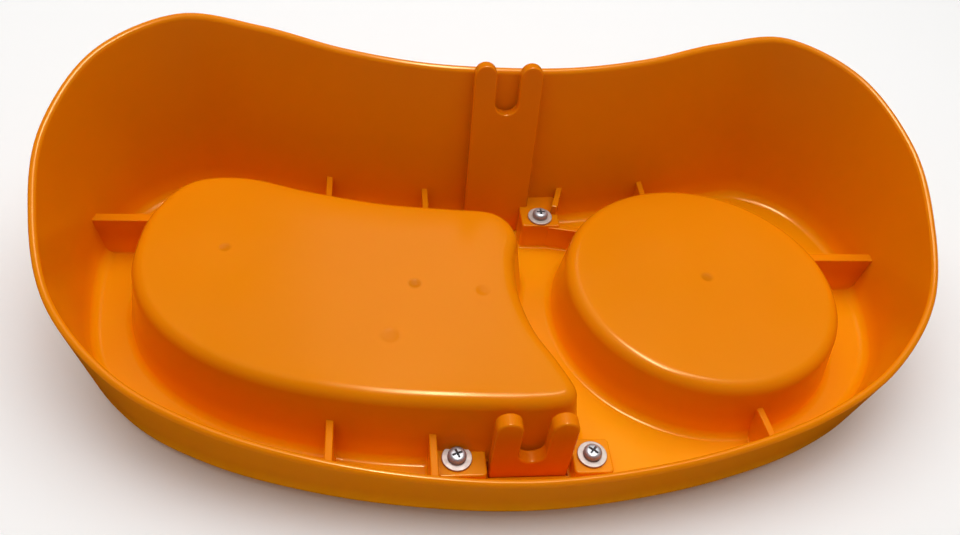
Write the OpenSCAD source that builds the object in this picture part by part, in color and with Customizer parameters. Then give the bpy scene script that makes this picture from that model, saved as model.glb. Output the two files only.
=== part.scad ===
// A two-well tray lying on its deck, open underside up. X is its width, Y runs to the high side.

/* [Tray] */
// Overall width, along X
tray_w = 300; // [220:1:380]
// Height of the rim over the deck at mid depth
rim_mid = 47.4; // [40:0.1:60]
// Rise of the rim for each mm towards the high side
rim_slope = 0.308; // [0.1:0.001:0.4]
// Wall thickness
wall = 2.5; // [1.8:0.1:4]
// Deck thickness
deck = 2.6; // [2:0.1:4]
// Outward lean of the skirt for each mm of height
flare = 0.15; // [0.05:0.005:0.3]
// Radius of the deck's outer edge
edge_r = 5; // [2:0.5:8]

/* [Wells] */
// Height of the long well's bottom over the deck's face
long_h = 28.2; // [20:0.1:32]
// Height of the round well's bottom over the deck's face
round_h = 24.2; // [16:0.1:30]
// Radius of the round well at its bottom edge
round_r = 46; // [40:0.5:52]
// Centre of the round well, X
round_x = 69.9; // [60:0.1:80]
// Centre of the round well, Y
round_y = -1.6; // [-10:0.1:10]
// Radius of the wells' bottom edges
well_r = 4.5; // [2:0.5:7]

/* [Ribs and bosses] */
// Rib height over the deck's face
rib_h = 16.5; // [8:0.5:20]
// Rib thickness
rib_t = 2.5; // [1.5:0.1:3]
// Thickness of the two ribs at the ends
end_rib_t = 4; // [1.5:0.1:5]
// Height of the two ribs at the ends
end_rib_h = 18.5; // [8:0.5:22]
// Height of the two low bosses over the deck's face
low_boss_h = 7.6; // [6:0.1:12]
// Height of the tall boss over the deck's face
tall_boss_h = 13.6; // [9:0.1:16]

/* [Forks] */
// Fork width
fork_w = 24.4; // [18:0.2:30]
// Slot width, also twice the radius of its round end
slot_w = 8.4; // [6:0.2:12]
// Depth of the front fork's slot from the finger tips
slot_d = 20; // [14:0.5:26]
// Depth of the rear fork's slot from the finger tips
rear_slot_d = 18.5; // [14:0.5:26]
// Fork thickness
fork_t = 4.6; // [3:0.1:6]
// Middle of both forks, X
fork_x = 2.8; // [-5:0.1:8]
// Height of the front fork's tips over the deck's face
front_tip = 30.2; // [26:0.1:36]
// Length of the rear fork up its lean
rear_tip = 71; // [60:0.1:74]

/* [Screws] */
// Screw head diameter
head_d = 5.8; // [5:0.1:7]
// Shank diameter
shank_d = 2.9; // [2.4:0.1:3.5]
// Shank length under the head
shank_l = 7; // [5:0.5:10]
// Washer diameter
washer_d = 9.2; // [8:0.1:11]
// Washer thickness
washer_t = 0.8; // [0.6:0.1:1.2]
// Distance of each low screw from the middle between them
screw_dx = 20.9; // [19:0.1:24]

/* [Hidden] */
sx = tray_w / 300;
fork_y = -62.8;                 // middle of the front fork's plate
tall_xy = [19.2, 40.2];         // tall boss
low_xy = [1.7, -61.4];           // middle between the low bosses
rear_lean = 0.155;              // lean of the rear fork for each mm of height
rear_y = 46.2;                  // foot of the rear fork's plate
flange = 1.5;                   // fork flange, let into the deck's face
gap = 0.3;                      // room round each fitted piece
post_d = 6.4;
pilot_d = shank_d + 0.2;
inner_z = deck;

// Half of the rim's outer edge, from the low side's middle to the high side's middle.
rim_half = [[0, -80.3], [31.2, -78.1], [62.6, -72.4], [93, -62.8], [118.7, -48.4], [138.6, -26],
    [148, 2.6], [150, 32.8], [138.4, 63.1], [112.6, 80], [83.9, 76.3], [55.6, 68], [27.8, 63], [0, 61.8]];
rim_pts = [for (p = concat(rim_half, [for (i = [len(rim_half) - 2 : -1 : 1])
    [-rim_half[i][0], rim_half[i][1]]])) [p[0] * sx, p[1]]];
// The long well's bottom edge.
long_pts = [[-118.4, -4], [-110.8, -20], [-95.4, -34.2], [-74, -44.5], [-46, -51], [-17, -53.6], [6, -54],
    [14.2, -51.4], [11, -41], [4.6, -27], [1.2, -11], [1.4, 4], [3.8, 17], [-2, 26.2], [-18, 28.2],
    [-42, 30.6], [-68, 36.8], [-90, 43.4], [-107.4, 41.2], [-117, 27.2], [-119.8, 11]];

// A smooth closed curve through the points p, with n steps between each two.
function mix4(a, b, c, d, t) = 0.5 * (2 * b + (c - a) * t + (2 * a - 5 * b + 4 * c - d) * t * t
    + (3 * b - a - 3 * c + d) * t * t * t);
function smooth(p, n) = let (m = len(p)) [for (i = [0 : m - 1], j = [0 : n - 1])
    mix4(p[(i + m - 1) % m], p[i], p[(i + 1) % m], p[(i + 2) % m], j / n)];
// Outward unit normals of a closed counterclockwise curve.
function outward(c) = let (m = len(c)) [for (i = [0 : m - 1])
    let (d = c[(i + 1) % m] - c[(i + m - 1) % m]) [d[1], -d[0]] / norm(d)];
function grown(c, n, d) = [for (i = [0 : len(c) - 1]) c[i] + n[i] * d];
function rim_z(y) = rim_mid + rim_slope * y;

module loft(rings) {
    n = len(rings[0]);
    k = len(rings);
    polyhedron([for (r = rings, p = r) p], concat(
        [[for (i = [0 : n - 1]) i]],
        [[for (i = [n - 1 : -1 : 0]) (k - 1) * n + i]],
        [for (j = [0 : k - 2], i = [0 : n - 1]) let (a = j * n + i, b = j * n + (i + 1) % n)
            [a, a + n, b + n]],
        [for (j = [0 : k - 2], i = [0 : n - 1]) let (a = j * n + i, b = j * n + (i + 1) % n)
            [a, b + n, b]]), convexity = 8);
}

// The skirt's form, inset from the rim's outer edge by t, from z0 with an edge radius r up to the
// rim plane, or over it by up. Its top is flat and parallel to the rim plane.
module skirt_form(t, z0, r, up) {
    c = smooth(rim_pts, 4);
    n = outward(c);
    steps = [0, 30, 60, 90];
    loft(concat(
        [for (a = steps) [for (i = [0 : len(c) - 1])
            let (z = z0 + r * (1 - cos(a)),
                d = t + flare * (rim_z(c[i][1]) - z) + r * (1 - sin(a)),
                p = c[i] - n[i] * d) [p[0], p[1], z]]],
        [[for (i = [0 : len(c) - 1]) let (p = c[i] - n[i] * (t - flare * up))
            [p[0], p[1], rim_z(p[1]) + up]]]));
}

// The long well's form: grown by d all round, up to height h.
module long_form(d, h, r, z0) {
    c = smooth(long_pts, 4);
    n = outward(c);
    out = 2.4 + d;
    loft(concat(
        [[for (i = [0 : len(c) - 1]) let (p = c[i] + n[i] * (out + 0.18 * (h - r - z0))) [p[0], p[1], z0]]],
        [for (a = [0, 30, 60, 90]) [for (i = [0 : len(c) - 1])
            let (p = c[i] + n[i] * (out - r * (1 - cos(a)))) [p[0], p[1], h - r + r * sin(a)]]]));
}

module round_form(d, h, r, z0) {
    ro = round_r + 2.2 + d;
    translate([round_x, round_y, 0]) rotate_extrude($fn = 96)
        polygon(concat([[0, z0], [ro + 0.15 * (h - r - z0), z0]],
            [for (a = [0 : 22.5 : 90]) [ro - r * (1 - cos(a)), h - r + r * sin(a)]], [[0, h]]));
}

// A rib between two points in plan.
module rib(a, b, h = rib_h, t = rib_t) {
    d = b - a;
    translate([a[0], a[1], 0]) rotate([0, 0, atan2(d[1], d[0])])
        translate([0, -t / 2, 0.5]) cube([norm(d), t, h - 0.5]);
}

module boss(x, y, w, l, h) {
    translate([x - w / 2, y - l / 2, 0.5]) cube([w, l, h - 0.5]);
}

module features() {
    long_form(0, long_h, well_r, 0.5);
    round_form(0, round_h, well_r, 0.5);
    rib([-114, 32.4], [-148, 32.4], end_rib_h, end_rib_t);
    rib([110, 14.6], [151, 14.6], end_rib_h, end_rib_t);
    rib([-61, 36], [-61, 68]);
    rib([-24.8, 30], [-24.8, 62]);
    rib([62, 40], [62, 70]);
    rib([-57, -46], [-57, -72]);
    rib([-26.6, -50], [-26.6, -77], 14.5);
    rib([78, -44], [80.5, -70], 14.5);
    rib([22, 36.4], [38, 33.4], tall_boss_h - 0.8);
    rib([24.6, 42], [29, 56], tall_boss_h + 4);
    boss(tall_xy[0], tall_xy[1] + 8, 15, 26, tall_boss_h);
    boss(low_xy[0] - screw_dx + 1.4, low_xy[1], 15.2, 12.4, low_boss_h);
    boss(low_xy[0] + screw_dx, low_xy[1], 12.4, 12.4, low_boss_h);
}

module at_screws(z_tall, z_low) {
    translate([tall_xy[0], tall_xy[1], z_tall]) children();
    for (s = [-1, 1]) translate([low_xy[0] + s * screw_dx, low_xy[1], z_low]) children();
}

module front_flange(g, h) {
    translate([low_xy[0] - 27 - g, low_xy[1] - 5.4 - g, 0]) cube([54 + 2 * g, 10.8 + 2 * g, h]);
}

module rear_flange(g, h) {
    translate([fork_x - fork_w / 2 - 1.6 - g, 35 - g, 0]) cube([39.6 + g * 2, 11.6 + 2 * g, h]);
}

module fork_plate(len, depth, from = 0.2) {
    linear_extrude(height = fork_t, center = true) difference() {
        union() {
            translate([-fork_w / 2, from]) square([fork_w, len - (fork_w - slot_w) / 4 - from]);
            for (s = [-1, 1]) translate([s * (fork_w + slot_w) / 4, len - (fork_w - slot_w) / 4])
                circle(d = (fork_w - slot_w) / 2, $fn = 48);
        }
        translate([0, len - depth + slot_w / 2]) circle(d = slot_w, $fn = 48);
        translate([-slot_w / 2, len - depth + slot_w / 2]) square([slot_w, depth]);
    }
}

// Both plates stand on the flanges; the rear one leans with the skirt.
module front_place() translate([fork_x, fork_y, 0]) rotate([90, 0, 0]) children();
module rear_place() translate([fork_x, rear_y, 0]) rotate([90 - atan(rear_lean), 0, 0]) children();

module tray_shell() color([0.93, 0.47, 0.02]) difference() {
    skirt_form(0, 0, edge_r, 0);
    difference() {
        skirt_form(wall, inner_z, 3, 0.6);
        features();
    }
    long_form(-wall, long_h - wall, well_r - 1.5, -0.4);
    round_form(-wall, round_h - wall, well_r - 1.5, -0.4);
    translate([tall_xy[0], tall_xy[1], -0.5]) cylinder(d = post_d + 2 * gap, h = tall_boss_h - 0.9, $fn = 48);
    for (s = [-1, 1]) translate([low_xy[0] + s * screw_dx, low_xy[1], -0.5])
        cylinder(d = post_d + 2 * gap, h = low_boss_h - 0.9, $fn = 48);
    at_screws(-1, -1) cylinder(d = shank_d + 0.6, h = 30, $fn = 32);
    front_flange(gap, flange + 0.1);
    rear_flange(gap, flange + 0.1);
    front_place() translate([-fork_w / 2 - gap, -1, -fork_t / 2 - gap])
        cube([fork_w + 2 * gap, 12, fork_t + 2 * gap]);
    rear_place() translate([-fork_w / 2 - gap, -1, -fork_t / 2 - gap])
        cube([fork_w + 2 * gap, 12, fork_t + 2 * gap]);
}

module post(h) difference() {
    cylinder(d = post_d, h = h, $fn = 48);
    translate([0, 0, h - shank_l]) cylinder(d = pilot_d, h = shank_l + 1, $fn = 32);
}

module front_fork() color([0.9, 0.42, 0.02]) {
    difference() {
        union() {
            front_flange(0, flange);
            front_place() fork_plate(front_tip, slot_d);
        }
        for (s = [-1, 1]) translate([low_xy[0] + s * screw_dx, low_xy[1], -1])
            cylinder(d = post_d - 1, h = 4, $fn = 32);
    }
    for (s = [-1, 1]) translate([low_xy[0] + s * screw_dx, low_xy[1], 0]) post(low_boss_h - 1.6);
}

module rear_fork() color([0.9, 0.42, 0.02]) difference() {
    union() {
        rear_flange(0, flange);
        rear_place() fork_plate(rear_tip, rear_slot_d, 0.7);
        translate([tall_xy[0], tall_xy[1], 0]) cylinder(d = post_d, h = tall_boss_h - 1.6, $fn = 48);
    }
    translate([tall_xy[0], tall_xy[1], tall_boss_h - 1.6 - shank_l]) cylinder(d = pilot_d, h = 20, $fn = 32);
}

module washer() color([0.72, 0.72, 0.7]) difference() {
    cylinder(d = washer_d, h = washer_t, $fn = 64);
    translate([0, 0, -1]) cylinder(d = shank_d + 0.4, h = 4, $fn = 32);
}

// A pan head with a cross recess; its underside is at z = 0.
module screw() color([0.6, 0.61, 0.62]) difference() {
    union() {
        rotate_extrude($fn = 64) polygon(concat([[0, 0], [head_d / 2, 0]],
            [for (a = [0 : 15 : 90]) [head_d / 2 - 1.3 * (1 - cos(a)), 0.9 + 1.3 * sin(a)]], [[0, 2.3]]));
        translate([0, 0, -shank_l]) cylinder(d = shank_d, h = shank_l + 0.5, $fn = 32);
    }
    for (a = [0, 90]) rotate([0, 0, a]) translate([-1.7, -0.35, 1]) cube([3.4, 0.7, 3]);
}

tray_shell();
front_fork();
rear_fork();
translate([tall_xy[0], tall_xy[1], tall_boss_h + washer_t]) screw();  // rear_screw
translate([low_xy[0] - screw_dx, low_xy[1], low_boss_h + washer_t]) rotate([0, 0, 20]) screw();  // front_left_screw
translate([low_xy[0] + screw_dx, low_xy[1], low_boss_h + washer_t]) rotate([0, 0, 50]) screw();  // front_right_screw
translate([tall_xy[0], tall_xy[1], tall_boss_h]) washer();  // rear_washer
translate([low_xy[0] - screw_dx, low_xy[1], low_boss_h]) washer();  // front_left_washer
translate([low_xy[0] + screw_dx, low_xy[1], low_boss_h]) washer();  // front_right_washer
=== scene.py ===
import bpy, bmesh, math
import numpy as np
from mathutils import Matrix, Vector


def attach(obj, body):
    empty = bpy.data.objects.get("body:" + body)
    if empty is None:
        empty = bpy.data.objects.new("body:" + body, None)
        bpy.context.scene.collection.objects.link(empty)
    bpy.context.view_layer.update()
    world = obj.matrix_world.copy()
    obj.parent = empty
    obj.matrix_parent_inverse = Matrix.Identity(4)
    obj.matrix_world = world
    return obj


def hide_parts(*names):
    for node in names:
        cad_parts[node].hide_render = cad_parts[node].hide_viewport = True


# Camera first: a close view from above the low side. Angles in degrees, lengths in millimetres.
TILT, ROLL, YAW = 45.4, -7.7, 10.4
DISTANCE, TARGET_X, TARGET_Y = 320.8, -4.33, 23.83
SENSOR, LENS, CLIP = 36, 31.875, 10
MM = 0.001
DECK = 2.6


def camera():
    tilt, roll, yaw = (math.radians(a) for a in (TILT, ROLL, YAW))
    ce, se = math.cos(tilt), math.sin(tilt)
    cy, sy = math.cos(yaw), math.sin(yaw)
    cr, sr = math.cos(roll), math.sin(roll)
    turn = np.array([[1, 0, 0], [0, se, ce], [0, ce, -se]]) @ np.array([[cy, -sy, 0], [sy, cy, 0], [0, 0, 1]])
    turn = np.array([[cr, -sr, 0], [sr, cr, 0], [0, 0, 1]]) @ turn
    eye = np.array([TARGET_X, TARGET_Y, DECK]) - turn[2] * DISTANCE
    rows = [[turn[0][i], turn[1][i], -turn[2][i], eye[i] * MM] for i in range(3)]
    data = bpy.data.cameras.new("view_camera")
    data.sensor_width, data.lens = SENSOR, LENS
    data.clip_start = CLIP * MM
    ob = bpy.data.objects.new("view_camera", data)
    bpy.context.scene.collection.objects.link(ob)
    ob.matrix_world = Matrix(rows + [[0, 0, 0, 1]])
    bpy.context.scene.camera = ob


camera()
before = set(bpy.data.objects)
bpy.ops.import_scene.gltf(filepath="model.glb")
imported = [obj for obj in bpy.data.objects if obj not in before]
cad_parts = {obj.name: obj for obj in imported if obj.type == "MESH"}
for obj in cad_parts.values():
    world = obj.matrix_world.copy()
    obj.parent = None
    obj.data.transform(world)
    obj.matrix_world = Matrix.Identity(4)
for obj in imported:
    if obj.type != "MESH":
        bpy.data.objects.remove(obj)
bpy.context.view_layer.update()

# ---------- sizes, in millimetres, as in the CAD model ----------
RIM_MID, SLOPE, WALL, FLARE, EDGE_R = 47.4, 0.308, 2.5, 0.15, 5
RIM_R, DECK_FILLET = 1.15, 3.2
# A well's OUT is how far the top of its wall stands outside its outline.
LONG_H, LONG_OUT, LONG_DRAFT = 28.2, 2.4, 0.18
ROUND_H, ROUND_OUT, ROUND_DRAFT, ROUND_R, ROUND_C = 24.2, 2.2, 0.15, 46, (69.9, -1.6)
WELL_R, WELL_FOOT, WELL_CAP = 4.5, 2.8, 2.5
RIB_H, RIB_T, END_RIB_H, END_RIB_T, LOW_H, TALL_H = 16.5, 2.5, 18.5, 4, 7.6, 13.6
TALL_W, TALL_L, LOW_W, WIDE_LOW_W, WIDE_LOW_DX = 15, 26, 12.4, 15.2, 1.4
FORK_W, SLOT_W, SLOT_D, REAR_SLOT_D, FORK_T, FORK_X = 24.4, 8.4, 20, 18.5, 4.6, 2.8
FRONT_TIP, REAR_TIP, FORK_EDGE, FORK_SEAT = 30.2, 71, 0.7, 11
HEAD_D, SHANK_D, SHANK_L, WASHER_D, WASHER_T, SCREW_DX = 5.8, 2.9, 7, 9.2, 0.8, 20.9
FORK_Y, REAR_Y, REAR_LEAN = -62.8, 46.2, 0.155
LOW_XY = (1.7, -61.4)
TALL_XY = (19.2, 40.2)
FLANGE, GAP, POST_D, BOSS_TOP = 1.5, 0.3, 6.4, 1.4
CURVE_STEPS = 10
OVERLAP = 0.5  # how far a cutter runs past the face it cuts
# Shallow moulding marks on the wells' bottoms: x, y, z, diameter, and darkening, a painted shade in each mark's
# dimple.
MARKS = [(71.7, -1.2, ROUND_H, 4.6, 0.8), (-92.9, 7.9, LONG_H, 4.2, 0.84), (-30.9, -8.2, LONG_H, 4.6, 0.8),
         (-39.2, -30.1, LONG_H, 6.6, 0.93), (-8.8, -11.2, LONG_H, 5.4, 0.95)]
# Half of the rim's outline seen from above, which the other half mirrors.
RIM_HALF = [(0, -80.3), (31.2, -78.1), (62.6, -72.4), (93, -62.8), (118.7, -48.4), (138.6, -26), (148, 2.6),
            (150, 32.8), (138.4, 63.1), (112.6, 80), (83.9, 76.3), (55.6, 68), (27.8, 63), (0, 61.8)]
RIM_PTS = RIM_HALF + [(-x, y) for x, y in RIM_HALF[-2:0:-1]]
# The long well's bottom edge.
LONG_PTS = [(-118.4, -4), (-110.8, -20), (-95.4, -34.2), (-74, -44.5), (-46, -51), (-17, -53.6), (6, -54),
            (14.2, -51.4), (11, -41), (4.6, -27), (1.2, -11), (1.4, 4), (3.8, 17), (-2, 26.2), (-18, 28.2),
            (-42, 30.6), (-68, 36.8), (-90, 43.4), (-107.4, 41.2), (-117, 27.2), (-119.8, 11)]


def smooth(p, n):
    p = np.array(p, float)
    a, b, c, d = np.roll(p, 1, 0), p, np.roll(p, -1, 0), np.roll(p, -2, 0)
    out = []
    for i in range(len(p)):
        for t in np.arange(n) / n:
            out.append(0.5 * (2 * b[i] + (c[i] - a[i]) * t + (2 * a[i] - 5 * b[i] + 4 * c[i] - d[i]) * t * t
                              + (3 * b[i] - a[i] - 3 * c[i] + d[i]) * t ** 3))
    return np.array(out)


def outward(c):
    d = np.roll(c, -1, 0) - np.roll(c, 1, 0)
    n = np.stack([d[:, 1], -d[:, 0]], 1)
    return n / np.linalg.norm(n, axis=1)[:, None]


def circle(n):
    t = np.linspace(0, 2 * math.pi, n, endpoint=False)
    return np.stack([np.cos(t), np.sin(t)], 1)


def move(x, y, z=0):
    return Matrix.Translation(Vector((x, y, z)) * MM)


def ring3(xy, z):
    return np.column_stack([xy, np.broadcast_to(z, len(xy))])


def link(name, verts, faces):
    me = bpy.data.meshes.new(name)
    me.from_pydata([tuple(v) for v in np.asarray(verts) * MM], [], faces)
    me.validate()
    ob = bpy.data.objects.new(name, me)
    bpy.context.scene.collection.objects.link(ob)
    return ob


def loft(name, rings, closed=False):
    """A skin over rings of equal length; closed joins the last to the first, else both ends are capped."""
    k, n = len(rings), len(rings[0])
    verts = np.vstack(rings)
    faces = []
    for j in range(k if closed else k - 1):
        a0, b0 = j * n, ((j + 1) % k) * n
        for i in range(n):
            i2 = (i + 1) % n
            faces.append((a0 + i, a0 + i2, b0 + i2, b0 + i))
    if not closed:
        faces.append(tuple(range(n - 1, -1, -1)))
        faces.append(tuple((k - 1) * n + i for i in range(n)))
    return link(name, verts, faces)


def boolean(target, others, op):
    """op is a boolean modifier's operation, with all of others at once, which are then removed."""
    coll = bpy.data.collections.new("cutters")
    bpy.context.scene.collection.children.link(coll)
    for o in others:
        coll.objects.link(o)
        bpy.context.scene.collection.objects.unlink(o)
    m = target.modifiers.new("b", "BOOLEAN")
    m.operation, m.solver, m.operand_type, m.collection = op, "EXACT", "COLLECTION", coll
    m.use_self = False
    bake(target)
    for o in others:
        bpy.data.objects.remove(o, do_unlink=True)
    bpy.data.collections.remove(coll)


def bake(ob):
    dg = bpy.context.evaluated_depsgraph_get()
    me = bpy.data.meshes.new_from_object(ob.evaluated_get(dg), preserve_all_data_layers=True, depsgraph=dg)
    ob.modifiers.clear()
    old = ob.data
    ob.data = me
    bpy.data.meshes.remove(old)


def finish_mesh(ob, angle=34, weld=0.004):
    bm = bmesh.new()
    bm.from_mesh(ob.data)
    bmesh.ops.remove_doubles(bm, verts=bm.verts, dist=weld * MM)
    bmesh.ops.dissolve_degenerate(bm, edges=bm.edges, dist=weld * MM)
    bmesh.ops.recalc_face_normals(bm, faces=bm.faces)
    bm.to_mesh(ob.data)
    bm.free()
    ob.data.polygons.foreach_set("use_smooth", [True] * len(ob.data.polygons))
    ob.data.set_sharp_from_angle(angle=math.radians(angle))
    w = ob.modifiers.new("normals", "WEIGHTED_NORMAL")
    w.mode, w.weight, w.keep_sharp = "FACE_AREA", 60, True


# ---------- the moulding ----------
def rim_z(y):
    return RIM_MID + SLOPE * y


def arcs(n):
    return np.radians(np.linspace(0, 90, n + 1))


def shell_body():
    c = smooth(RIM_PTS, CURVE_STEPS)
    nrm = outward(c)
    h = rim_z(c[:, 1])

    def at(t, z):  # a ring inset t from the skirt's outer face, at height z
        d = t + FLARE * (h - z)
        return np.column_stack([c - nrm * d[:, None], z])

    rings = []
    for a in arcs(8):  # the deck's outer edge
        z = np.full(len(c), EDGE_R * (1 - math.cos(a)))
        rings.append(at(EDGE_R * (1 - math.sin(a)), z))
    for u in (0.25, 0.5, 0.75):
        rings.append(at(0, EDGE_R + (h - EDGE_R - 1) * u))
    r = RIM_R

    def rim(a, t):  # a ring on the rim's rounded edge, parallel to the rim's sloping plane
        return at(t, h - r + r * math.sin(a) - SLOPE * nrm[:, 1] * t)

    for a in arcs(4):
        rings.append(rim(a, r * (1 - math.cos(a))))
    for a in arcs(4)[::-1]:
        rings.append(rim(a, WALL - r * (1 - math.cos(a))))
    for u in (0.75, 0.5, 0.25):
        rings.append(at(WALL, DECK + 3 + (h - DECK - 4) * u))
    for a in arcs(8)[::-1]:  # the hollow fillet where the skirt meets the deck
        z = np.full(len(c), DECK + DECK_FILLET * (1 - math.cos(a)))
        rings.append(at(WALL + DECK_FILLET * (1 - math.sin(a)), z))
    return loft("tray_shell_body", rings)


def shell_cavity():
    """The space inside the skirt, with half the wall: what a rib may fill."""
    c = smooth(RIM_PTS, CURVE_STEPS)
    nrm = outward(c)
    h = rim_z(c[:, 1])
    rings = []
    for z in (np.full(len(c), 0.4), h - 0.5):
        d = WALL * 0.5 + FLARE * (h - z)
        rings.append(np.column_stack([c - nrm * d[:, None], z]))
    return loft("cavity", rings)


def long_form():
    c = smooth(LONG_PTS, CURVE_STEPS)
    return "long_well", c, outward(c), LONG_OUT, LONG_DRAFT, 10


def round_form():
    return "round_well", np.array(ROUND_C), circle(160), ROUND_R + ROUND_OUT, ROUND_DRAFT, 8


def well(form, grow, height, radius, foot=0.0):
    """A well's form, grown all round, with a hollow fillet of radius foot at the deck, or run past the deck."""
    name, middle, way, out, draft, steps = form
    out += grow

    def ring(offset, z):
        return ring3(middle + way * offset, z)

    if foot:
        base = out + draft * (height - radius - DECK - foot)
        rings = [ring(base + foot + 0.6, DECK - 0.6)]
        for a in arcs(6):
            rings.append(ring(base + foot * (1 - math.sin(a)) + 0.02, DECK - 0.02 + foot * (1 - math.cos(a))))
    else:
        under = -0.4
        rings = [ring(out + draft * (height - radius - under), under)]
    for a in arcs(steps):
        rings.append(ring(out - radius * (1 - math.cos(a)), height - radius + radius * math.sin(a)))
    rings.append(ring(out - radius - WELL_CAP, height))
    return loft(name, rings)


def rounded_rect(w, l, r):
    pts = []
    x, y = w / 2 - r, l / 2 - r
    for cx, cy, a0 in ((x, y, 0), (-x, y, 90), (-x, -y, 180), (x, -y, 270)):
        for a in np.radians(a0 + np.linspace(0, 90, 5)):
            pts.append((cx + r * math.cos(a), cy + r * math.sin(a)))
    return np.array(pts)


def block(name, w, l, top_z, place, r=0.8, top=0.6, draft=0.02, flare=1.0):
    """A drafted block with round corners, a round top edge and a small fillet at its foot (flare)."""
    def ring(grow, z):
        return ring3(rounded_rect(w + 2 * grow, l + 2 * grow, max(r + grow, 0.15)), z)

    rings = [ring(flare + 0.4, DECK - 0.5)]
    for a in arcs(4):
        rings.append(ring(flare * (1 - math.sin(a)) + 0.01, DECK - 0.01 + flare * (1 - math.cos(a))))
    for a in arcs(4):
        inset = top * (1 - math.cos(a)) + draft * (top_z - DECK)
        rings.append(ring(-inset, top_z - top + top * math.sin(a)))
    ob = loft(name, rings)
    ob.data.transform(place)
    return ob


def rib(a, b, h=RIB_H, t=RIB_T):
    a, b = np.array(a, float), np.array(b, float)
    d = b - a
    mid = (a + b) / 2
    place = move(mid[0], mid[1]) @ Matrix.Rotation(math.atan2(d[1], d[0]), 4, "Z")
    return block("rib", np.linalg.norm(d), t, h, place, r=0.4, top=0.4, draft=0.008, flare=0.8)


def features():
    out = []
    for a, b in (((-114, 32.4), (-148, 32.4)), ((110, 14.6), (151, 14.6))):
        out.append(rib(a, b, END_RIB_H, END_RIB_T))
    for a, b, h in (((-61, 36), (-61, 68), RIB_H), ((-24.8, 30), (-24.8, 62), RIB_H),
                    ((62, 40), (62, 70), RIB_H), ((-57, -46), (-57, -72), RIB_H),
                    ((-26.6, -50), (-26.6, -77), 14.5), ((78, -44), (80.5, -70), 14.5),
                    ((22, 36.4), (38, 33.4), TALL_H - 0.8), ((24.6, 42), (29, 56), TALL_H + 4)):
        out.append(rib(a, b, h))
    out.append(block("tall", TALL_W, TALL_L, TALL_H, move(TALL_XY[0], TALL_XY[1] + 8), r=1.2))
    for x, w in ((LOW_XY[0] - SCREW_DX + WIDE_LOW_DX, WIDE_LOW_W), (LOW_XY[0] + SCREW_DX, LOW_W)):
        out.append(block("low", w, LOW_W, LOW_H, move(x, LOW_XY[1]), r=1.6))
    return out


def tube(name, d, z0, z1, xy, n=48):
    u = circle(n) * d / 2 + np.array(xy)
    return loft(name, [ring3(u, z0), ring3(u, z1)])


def box(name, lo, hi, place=None):
    (x0, y0, z0), (x1, y1, z1) = lo, hi
    p = np.array([(x0, y0), (x1, y0), (x1, y1), (x0, y1)], float)
    ob = loft(name, [ring3(p, z0), ring3(p, z1)])
    if place is not None:
        ob.data.transform(place)
    return ob


def dimple(x, y, z, d):
    """A cutter that leaves a shallow saucer of diameter d in a flat face at height z."""
    u = circle(40)
    deep = 0.3
    rings = [ring3(u * d / 2 * f + (x, y), z - deep * (1 - f * f)) for f in (0.05, 0.25, 0.5, 0.75, 1)]
    return loft("dimple", rings + [ring3(u * d / 2 + (x, y), z + 1)])


LOW = [(LOW_XY[0] + s * SCREW_DX, LOW_XY[1]) for s in (-1, 1)]
FRONT = move(FORK_X, FORK_Y) @ Matrix.Rotation(math.radians(90), 4, "X")
REAR = move(FORK_X, REAR_Y) @ Matrix.Rotation(math.radians(90) - math.atan(REAR_LEAN), 4, "X")
# The flanges that hold the forks under the deck, as the corners of boxes.
FRONT_FLANGE = ((LOW_XY[0] - 27, LOW_XY[1] - 5.4, 0), (LOW_XY[0] + 27, LOW_XY[1] + 5.4, FLANGE))
REAR_FLANGE = ((FORK_X - FORK_W / 2 - 1.6, 35, 0), (FORK_X - FORK_W / 2 + 38, 46.6, FLANGE))


def tray():
    ob = shell_body()
    parts = features()
    stiff = parts[0]
    boolean(stiff, parts[1:], "UNION")
    boolean(stiff, [shell_cavity()], "INTERSECT")
    wells = ((long_form(), LONG_H), (round_form(), ROUND_H))
    boolean(ob, [well(form, 0, h, WELL_R, WELL_FOOT) for form, h in wells] + [stiff], "UNION")
    cuts = [well(form, -WALL, h - WALL, WELL_R - 1.5) for form, h in wells]
    posts = [(TALL_XY, TALL_H)] + [(p, LOW_H) for p in LOW]
    cuts += [tube("c", POST_D + 2 * GAP, -OVERLAP, h - BOSS_TOP, p) for p, h in posts]
    cuts += [tube("c", SHANK_D + 0.6, 1, 20, p) for p in LOW + [TALL_XY]]
    for lo, hi in (FRONT_FLANGE, REAR_FLANGE):
        cuts.append(box("c", (lo[0] - GAP, lo[1] - GAP, -OVERLAP), (hi[0] + GAP, hi[1] + GAP, hi[2] + 0.1)))
    w, t = FORK_W / 2 + GAP, FORK_T / 2 + GAP
    cuts += [box("c", (-w, -1, -t), (w, FORK_SEAT, t), place) for place in (FRONT, REAR)]
    boolean(ob, cuts, "DIFFERENCE")
    boolean(ob, [dimple(*mark[:4]) for mark in MARKS], "DIFFERENCE")
    ob.name = "tray_moulding"
    finish_mesh(ob)
    return ob


# ---------- forks ----------
def fork_outline(length, start, depth):
    r, s = (FORK_W - SLOT_W) / 4, SLOT_W / 2
    w = FORK_W / 2
    half_turn = np.radians(np.linspace(0, 180, 15))
    pts = [(-w, start), (w, start)]
    for a in half_turn:
        pts.append((w - r + r * math.cos(a), length - r + r * math.sin(a)))
    for a in -half_turn:
        pts.append((s * math.cos(a), length - depth + s + s * math.sin(a)))
    for a in half_turn:
        pts.append((-w + r + r * math.cos(a), length - r + r * math.sin(a)))
    return np.array(pts)


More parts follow.
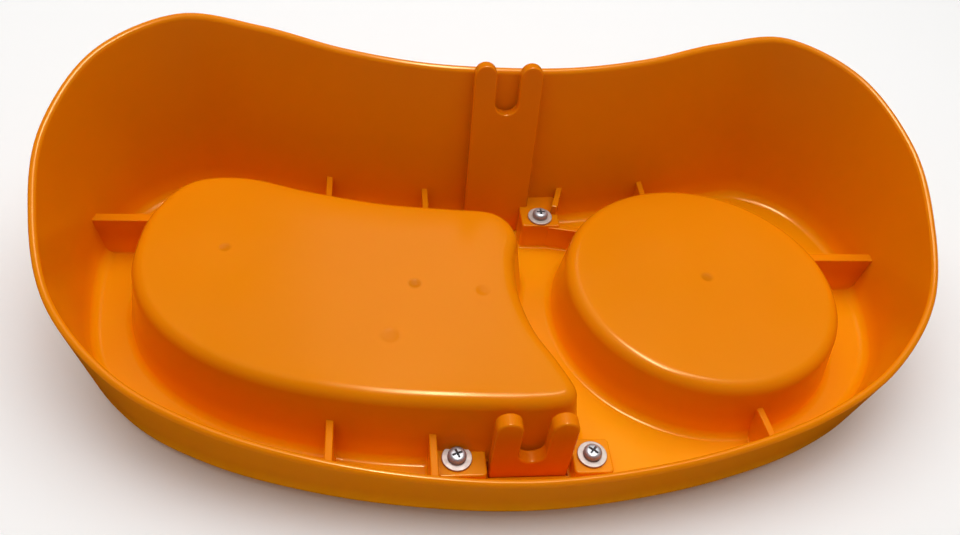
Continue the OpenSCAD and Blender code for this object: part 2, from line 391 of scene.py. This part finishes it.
def fork(name, length, start, depth, place, flange, posts):
    p = fork_outline(length, start, depth)
    bm = bmesh.new()
    t = FORK_T / 2
    lo = [bm.verts.new((x * MM, y * MM, -t * MM)) for x, y in p]
    hi = [bm.verts.new((x * MM, y * MM, t * MM)) for x, y in p]
    n = len(p)
    for i in range(n):
        bm.faces.new((lo[i], lo[(i + 1) % n], hi[(i + 1) % n], hi[i]))
    bm.faces.new(hi)
    bm.faces.new(lo[::-1])
    bmesh.ops.remove_doubles(bm, verts=bm.verts, dist=1e-6)
    edges = [e for e in bm.edges if len(e.link_faces) == 2 and abs(abs(e.verts[0].co.z) - t * MM) < 1e-7
             and abs(e.verts[0].co.z - e.verts[1].co.z) < 1e-7]
    bmesh.ops.bevel(bm, geom=edges, offset=FORK_EDGE * MM, segments=4, profile=0.5, affect="EDGES",
                    clamp_overlap=True)
    me = bpy.data.meshes.new(name)
    bm.to_mesh(me)
    bm.free()
    ob = bpy.data.objects.new(name, me)
    bpy.context.scene.collection.objects.link(ob)
    me.transform(place)
    parts = [box("f", *flange)]
    for xy, h in posts:
        parts.append(tube("f", POST_D, 0.3, h, xy))
    boolean(ob, parts, "UNION")
    bores = []
    for xy, h in posts:  # a blind bore where the post is long enough, else one right through
        bottom = h - SHANK_L if h - SHANK_L > 1 else -1
        bores.append(tube("c", SHANK_D + 0.2, bottom, h + 2, xy, 32))
    boolean(ob, bores, "DIFFERENCE")
    finish_mesh(ob, weld=0.002)
    return ob


# ---------- screws ----------
def revolve(name, prof):
    """prof: (radius, height) pairs from the axis at the bottom round to the axis at the top."""
    return loft(name, [ring3(circle(64) * max(r, 0.02), z) for r, z in prof])


def screw(name, place):
    r = HEAD_D / 2
    core = SHANK_D / 2
    prof = [(0, -SHANK_L), (core - 0.5, -SHANK_L), (core, -SHANK_L + 0.6)]
    z = -SHANK_L + 0.6
    while z < -1.0:  # rolled thread, as close rings
        prof += [(core, z), (core - 0.3, z + 0.25), (core, z + 0.5)]
        z += 0.55
    prof += [(core - 0.1, -0.2), (core - 0.1, 0), (r - 0.25, 0), (r - 0.05, 0.15), (r, 0.45), (r, 0.85)]
    for a in np.radians(np.linspace(12, 90, 9)):
        prof.append((r - 1.5 + 1.5 * math.cos(a), 0.9 + 1.35 * math.sin(a)))
    prof.append((0, 2.3))
    ob = revolve(name, prof)
    cuts = []
    for a in (0, 90):  # tapered cross recess
        m = Matrix.Rotation(math.radians(a), 4, "Z")
        corners = np.array([(-1, -1), (1, -1), (1, 1), (-1, 1)])
        c = loft("c", [ring3(corners * (0.8, 0.22), 0.6), ring3(corners * (1.85, 0.42), 2.6)])
        c.data.transform(m)
        cuts.append(c)
    boolean(ob, cuts, "DIFFERENCE")
    ob.data.transform(place)
    finish_mesh(ob, angle=38, weld=0.001)
    return ob


def washer(name, place):
    ro, ri, t, b = WASHER_D / 2, (SHANK_D + 0.4) / 2, WASHER_T, 0.14
    prof = [(ri + b, 0), (ro - b, 0), (ro, b), (ro, t - b), (ro - b * 0.4, t - b * 0.3),
            (ro - b * 1.4, t), (ri + b, t), (ri, t - b), (ri, b)]
    ob = loft(name, [ring3(circle(72) * r, z) for r, z in prof], closed=True)
    ob.data.transform(place)
    finish_mesh(ob, angle=50, weld=0.001)
    return ob


# ---------- materials ----------
def material(name):
    m = bpy.data.materials.new(name)
    m.use_nodes = True
    nt = m.node_tree
    return m, nt, nt.nodes["Principled BSDF"]


def noise(nt, coord, scale, detail, rough=0.5):
    n = nt.nodes.new("ShaderNodeTexNoise")
    n.inputs["Scale"].default_value = scale
    n.inputs["Detail"].default_value = detail
    n.inputs["Roughness"].default_value = rough
    nt.links.new(coord.outputs["Object"], n.inputs["Vector"])
    return n


def ramp(nt, fac, stops):
    r = nt.nodes.new("ShaderNodeValToRGB")
    while len(r.color_ramp.elements) < len(stops):
        r.color_ramp.elements.new(0.5)
    for e, (p, c) in zip(r.color_ramp.elements, stops):
        e.position, e.color = p, (*c, 1)
    nt.links.new(fac, r.inputs["Fac"])
    return r


def mix(nt, fac, a, b, kind="MIX"):
    """Blend two colours, each a plain colour or a socket; fac is a number or a socket."""
    n = nt.nodes.new("ShaderNodeMix")
    n.data_type, n.blend_type = "RGBA", kind
    for socket, v in ((n.inputs["Factor"], fac), (n.inputs[6], a), (n.inputs[7], b)):
        if isinstance(v, bpy.types.NodeSocket):
            nt.links.new(v, socket)
        elif isinstance(v, tuple):
            socket.default_value = (*v, 1)
        else:
            socket.default_value = v
    return n.outputs[2]


def to_range(nt, fac, lo, hi, a, b):
    """Maps a to b onto lo to hi."""
    r = nt.nodes.new("ShaderNodeMapRange")
    r.inputs["From Min"].default_value, r.inputs["From Max"].default_value = a, b
    r.inputs["To Min"].default_value, r.inputs["To Max"].default_value = lo, hi
    nt.links.new(fac, r.inputs["Value"])
    return r


def bump(nt, heights, shader):
    last = None
    for h, strength, dist in heights:
        b = nt.nodes.new("ShaderNodeBump")
        b.inputs["Strength"].default_value = strength
        b.inputs["Distance"].default_value = dist
        nt.links.new(h, b.inputs["Height"])
        if last:
            nt.links.new(last.outputs["Normal"], b.inputs["Normal"])
        last = b
    nt.links.new(last.outputs["Normal"], shader.inputs["Normal"])


def plastic(name, base, painted_glow, marks=()):
    """Satin-gloss moulded plastic; the second colour is painted light, a lighter colour low down that stands in
    for light coming through from below and bouncing off the floor.
    """
    m, nt, bsdf = material(name)
    tc = nt.nodes.new("ShaderNodeTexCoord")
    xyz = nt.nodes.new("ShaderNodeSeparateXYZ")
    nt.links.new(tc.outputs["Object"], xyz.inputs["Vector"])
    # painted light: the colour turns lighter towards the bottom, in place of light that comes through the thin
    # plastic and bounces off the floor
    low = to_range(nt, xyz.outputs["Z"], 1.0, 0.0, 0.003, 0.013)
    low.interpolation_type = "SMOOTHSTEP"
    tint = mix(nt, low.outputs["Result"], base, painted_glow)
    cloud = noise(nt, tc, 14, 3)
    shade = ramp(nt, cloud.outputs["Fac"], [(0.3, (0.93, 0.93, 0.93)), (0.7, (1, 1, 1))])
    col = mix(nt, 1.0, tint, shade.outputs["Color"], "MULTIPLY")
    for x, y, z, d, dark in marks:  # painted shade: the colour darkened in each moulding mark's dimple
        far = nt.nodes.new("ShaderNodeVectorMath")
        far.operation = "DISTANCE"
        nt.links.new(tc.outputs["Object"], far.inputs[0])
        far.inputs[1].default_value = (x * MM, y * MM, z * MM)
        spot = to_range(nt, far.outputs["Value"], 1.0, 0.0, d * 0.2 * MM, d * 0.65 * MM)
        spot.interpolation_type = "SMOOTHSTEP"
        painted_spot_shade = mix(nt, 1.0, col, (dark, dark * 0.96, 1.0), "MULTIPLY")
        col = mix(nt, spot.outputs["Result"], col, painted_spot_shade)
    nt.links.new(col, bsdf.inputs["Base Color"])
    smear = noise(nt, tc, 38, 4, 0.6)
    gloss = to_range(nt, smear.outputs["Fac"], 0.17, 0.26, 0.3, 0.7)
    nt.links.new(gloss.outputs["Result"], bsdf.inputs["Roughness"])
    wave = noise(nt, tc, 26, 1)
    grain = noise(nt, tc, 1500, 2)
    bump(nt, [(wave.outputs["Fac"], 0.35, 0.0006), (grain.outputs["Fac"], 0.05, 0.00006)], bsdf)
    bsdf.inputs["IOR"].default_value = 1.49
    bsdf.inputs["Specular IOR Level"].default_value = 0.32
    bsdf.inputs["Specular Tint"].default_value = (1.0, 0.66, 0.34, 1)
    bsdf.inputs["Subsurface Weight"].default_value = 0.12
    bsdf.inputs["Subsurface Radius"].default_value = (1.0, 0.25, 0.05)
    bsdf.inputs["Subsurface Scale"].default_value = 0.004
    return m


def metal(name, base, rough, metallic):
    m, nt, bsdf = material(name)
    tc = nt.nodes.new("ShaderNodeTexCoord")
    n1 = noise(nt, tc, 500, 3)
    col = ramp(nt, n1.outputs["Fac"], [(0.3, tuple(x * 0.82 for x in base)), (0.7, base)])
    nt.links.new(col.outputs["Color"], bsdf.inputs["Base Color"])
    bsdf.inputs["Metallic"].default_value = metallic
    n2 = noise(nt, tc, 900, 3)
    gloss = to_range(nt, n2.outputs["Fac"], rough - 0.08, rough + 0.1, 0.3, 0.7)
    nt.links.new(gloss.outputs["Result"], bsdf.inputs["Roughness"])
    bump(nt, [(n1.outputs["Fac"], 0.2, 0.00005)], bsdf)
    return m


ORANGE = plastic("tray_plastic", (0.83, 0.232, 0.0008), (0.99, 0.355, 0.001), MARKS)
# The forks' plastic is the tray's plastic made a little darker and redder: painted shade, for the less light
# that reaches the forks' upright faces.
FORK_MAT = plastic("fork_plastic", (0.82, 0.205, 0.0008), (0.9, 0.2, 0.001))
STEEL = metal("screw_steel", (0.46, 0.47, 0.49), 0.42, 0.6)
WASHER = metal("washer_steel", (0.5, 0.43, 0.38), 0.5, 0.4)


def use(ob, mat, slot, *nodes):
    ob.data.materials.clear()
    ob.data.materials.append(mat)
    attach(ob, "root")
    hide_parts(*nodes)


use(tray(), ORANGE, "tray_plastic", "tray_shell")
use(fork("front_fork_upright", FRONT_TIP, 0.2, SLOT_D, FRONT, FRONT_FLANGE, [(p, LOW_H - 1.6) for p in LOW]),
    FORK_MAT, "fork_plastic", "front_fork")
use(fork("rear_fork_upright", REAR_TIP, 0.7, REAR_SLOT_D, REAR, REAR_FLANGE, [(TALL_XY, TALL_H - 1.6)]),
    FORK_MAT, "fork_plastic", "rear_fork")
for who, xy, z, turn in (("rear", TALL_XY, TALL_H, 0), ("front_left", LOW[0], LOW_H, 20),
                         ("front_right", LOW[1], LOW_H, 50)):
    head = move(*xy, z + WASHER_T) @ Matrix.Rotation(math.radians(turn), 4, "Z")
    use(screw(who + "_screw_piece", head), STEEL, "screw_steel", who + "_screw")
    use(washer(who + "_washer_piece", move(*xy, z)), WASHER, "washer_steel", who + "_washer")


# ---------- floor and light ----------
def floor():
    half = 3000
    corners = [(-half, -half, 0), (half, -half, 0), (half, half, 0), (-half, half, 0)]
    ob = link("floor", corners, [(0, 1, 2, 3)])
    ob.location.z = -0.05 * MM
    m, _, bsdf = material("floor_pale")
    bsdf.inputs["Base Color"].default_value = (0.9, 0.9, 0.9, 1)
    bsdf.inputs["Roughness"].default_value = 0.8
    ob.data.materials.append(m)
    ob.visible_glossy = False


def area(name, at, aim, size, size_y, power):
    d = bpy.data.lights.new(name, "AREA")
    d.shape, d.size, d.size_y, d.energy = "RECTANGLE", size, size_y, power
    ob = bpy.data.objects.new(name, d)
    bpy.context.scene.collection.objects.link(ob)
    ob.location = at
    ob.rotation_euler = (Vector(aim) - Vector(at)).to_track_quat("-Z", "Y").to_euler()
    return ob


def studio():
    world = bpy.data.worlds.new("studio")
    bpy.context.scene.world = world
    world.use_nodes = True
    world.node_tree.nodes["Background"].inputs["Color"].default_value = (1, 0.97, 0.93, 1)
    world.node_tree.nodes["Background"].inputs["Strength"].default_value = 0.31
    world.cycles_visibility.glossy = False
    soft = area("soft_top", (0, 0.22, 1.0), (0, 0, 0.02), 1.5, 1.0, 11.4)
    soft.visible_glossy = False
    area("window", (0.02, 0.66, 0.74), (-0.03, -0.02, 0.03), 0.32, 0.28, 0.34)
    for name, x, power in (("spark", 0.012, 9), ("small_spark", 0.19, 2.2)):  # lamps for the highlights only
        lamp = area(name, (x, 0.08, 0.9), (x * 0.2, -0.04, 0.02), 0.05, 0.36, power)
        lamp.visible_diffuse = False
        lamp.data.cycles.max_bounces = 0


floor()
bpy.context.scene.view_settings.view_transform = "Standard"
studio()

bpy.context.view_layer.update()
